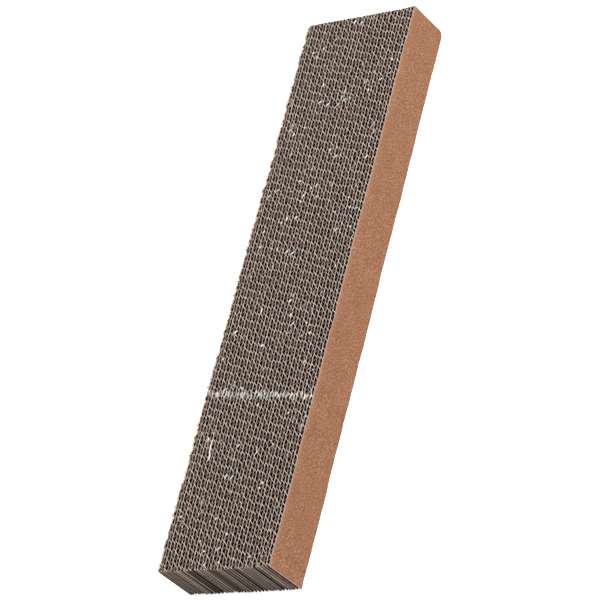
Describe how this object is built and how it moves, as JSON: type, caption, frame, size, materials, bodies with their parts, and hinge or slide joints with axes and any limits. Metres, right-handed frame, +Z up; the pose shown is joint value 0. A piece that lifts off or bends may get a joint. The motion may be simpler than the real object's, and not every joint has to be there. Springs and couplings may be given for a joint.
{
  "type": "cardboard cat scratcher",
  "caption": "Flat cat scratching pad of upright double-wall corrugated board strips glued face to face, with the open flute ends as the scratching surface.",
  "frame": {"origin": "centre of the underside, on the surface that the pad lies on", "axes": "+X along the length of the strips, +Z up along the flutes, -Y out of the open kraft side"},
  "size_m": [0.48, 0.1044, 0.04],
  "materials": {
    "kraft_facing": "matt kraft liner",
    "fluting_medium": "matt recycled fluting",
    "middle_liner": "matt grey recycled liner",
    "glue": "dried white glue film"
  },
  "bodies": {
    "root": {"strip_01_facings": "kraft_facing", "strip_01_c_flute": "fluting_medium", "strip_01_b_flute": "fluting_medium", "strip_02_facings": "kraft_facing", "strip_02_c_flute": "fluting_medium", "strip_02_b_flute": "fluting_medium", "strip_03_facings": "kraft_facing", "strip_03_c_flute": "fluting_medium", "strip_03_b_flute": "fluting_medium", "strip_04_facings": "kraft_facing", "strip_04_c_flute": "fluting_medium", "strip_04_b_flute": "fluting_medium", "strip_05_facings": "kraft_facing", "strip_05_c_flute": "fluting_medium", "strip_05_b_flute": "fluting_medium", "strip_06_facings": "kraft_facing", "strip_06_c_flute": "fluting_medium", "strip_06_b_flute": "fluting_medium", "strip_07_facings": "kraft_facing", "strip_07_c_flute": "fluting_medium", "strip_07_b_flute": "fluting_medium", "strip_08_facings": "kraft_facing", "strip_08_c_flute": "fluting_medium", "strip_08_b_flute": "fluting_medium", "strip_09_facings": "kraft_facing", "strip_09_c_flute": "fluting_medium", "strip_09_b_flute": "fluting_medium", "strip_10_facings": "kraft_facing", "strip_10_c_flute": "fluting_medium", "strip_10_b_flute": "fluting_medium", "strip_11_facings": "kraft_facing", "strip_11_c_flute": "fluting_medium", "strip_11_b_flute": "fluting_medium", "strip_12_facings": "kraft_facing", "strip_12_c_flute": "fluting_medium", "strip_12_b_flute": "fluting_medium", "strip_13_facings": "kraft_facing", "strip_13_c_flute": "fluting_medium", "strip_13_b_flute": "fluting_medium", "strip_14_facings": "kraft_facing", "strip_14_c_flute": "fluting_medium", "strip_14_b_flute": "fluting_medium", "strip_15_facings": "kraft_facing", "strip_15_c_flute": "fluting_medium", "strip_15_b_flute": "fluting_medium", "strip_16_facings": "kraft_facing", "strip_16_c_flute": "fluting_medium", "strip_16_b_flute": "fluting_medium", "closing_strip_facings": "kraft_facing", "closing_strip_b_flute": "fluting_medium", "middle_liners": "middle_liner", "glue_films": "glue"}
  },
  "joints": []
}
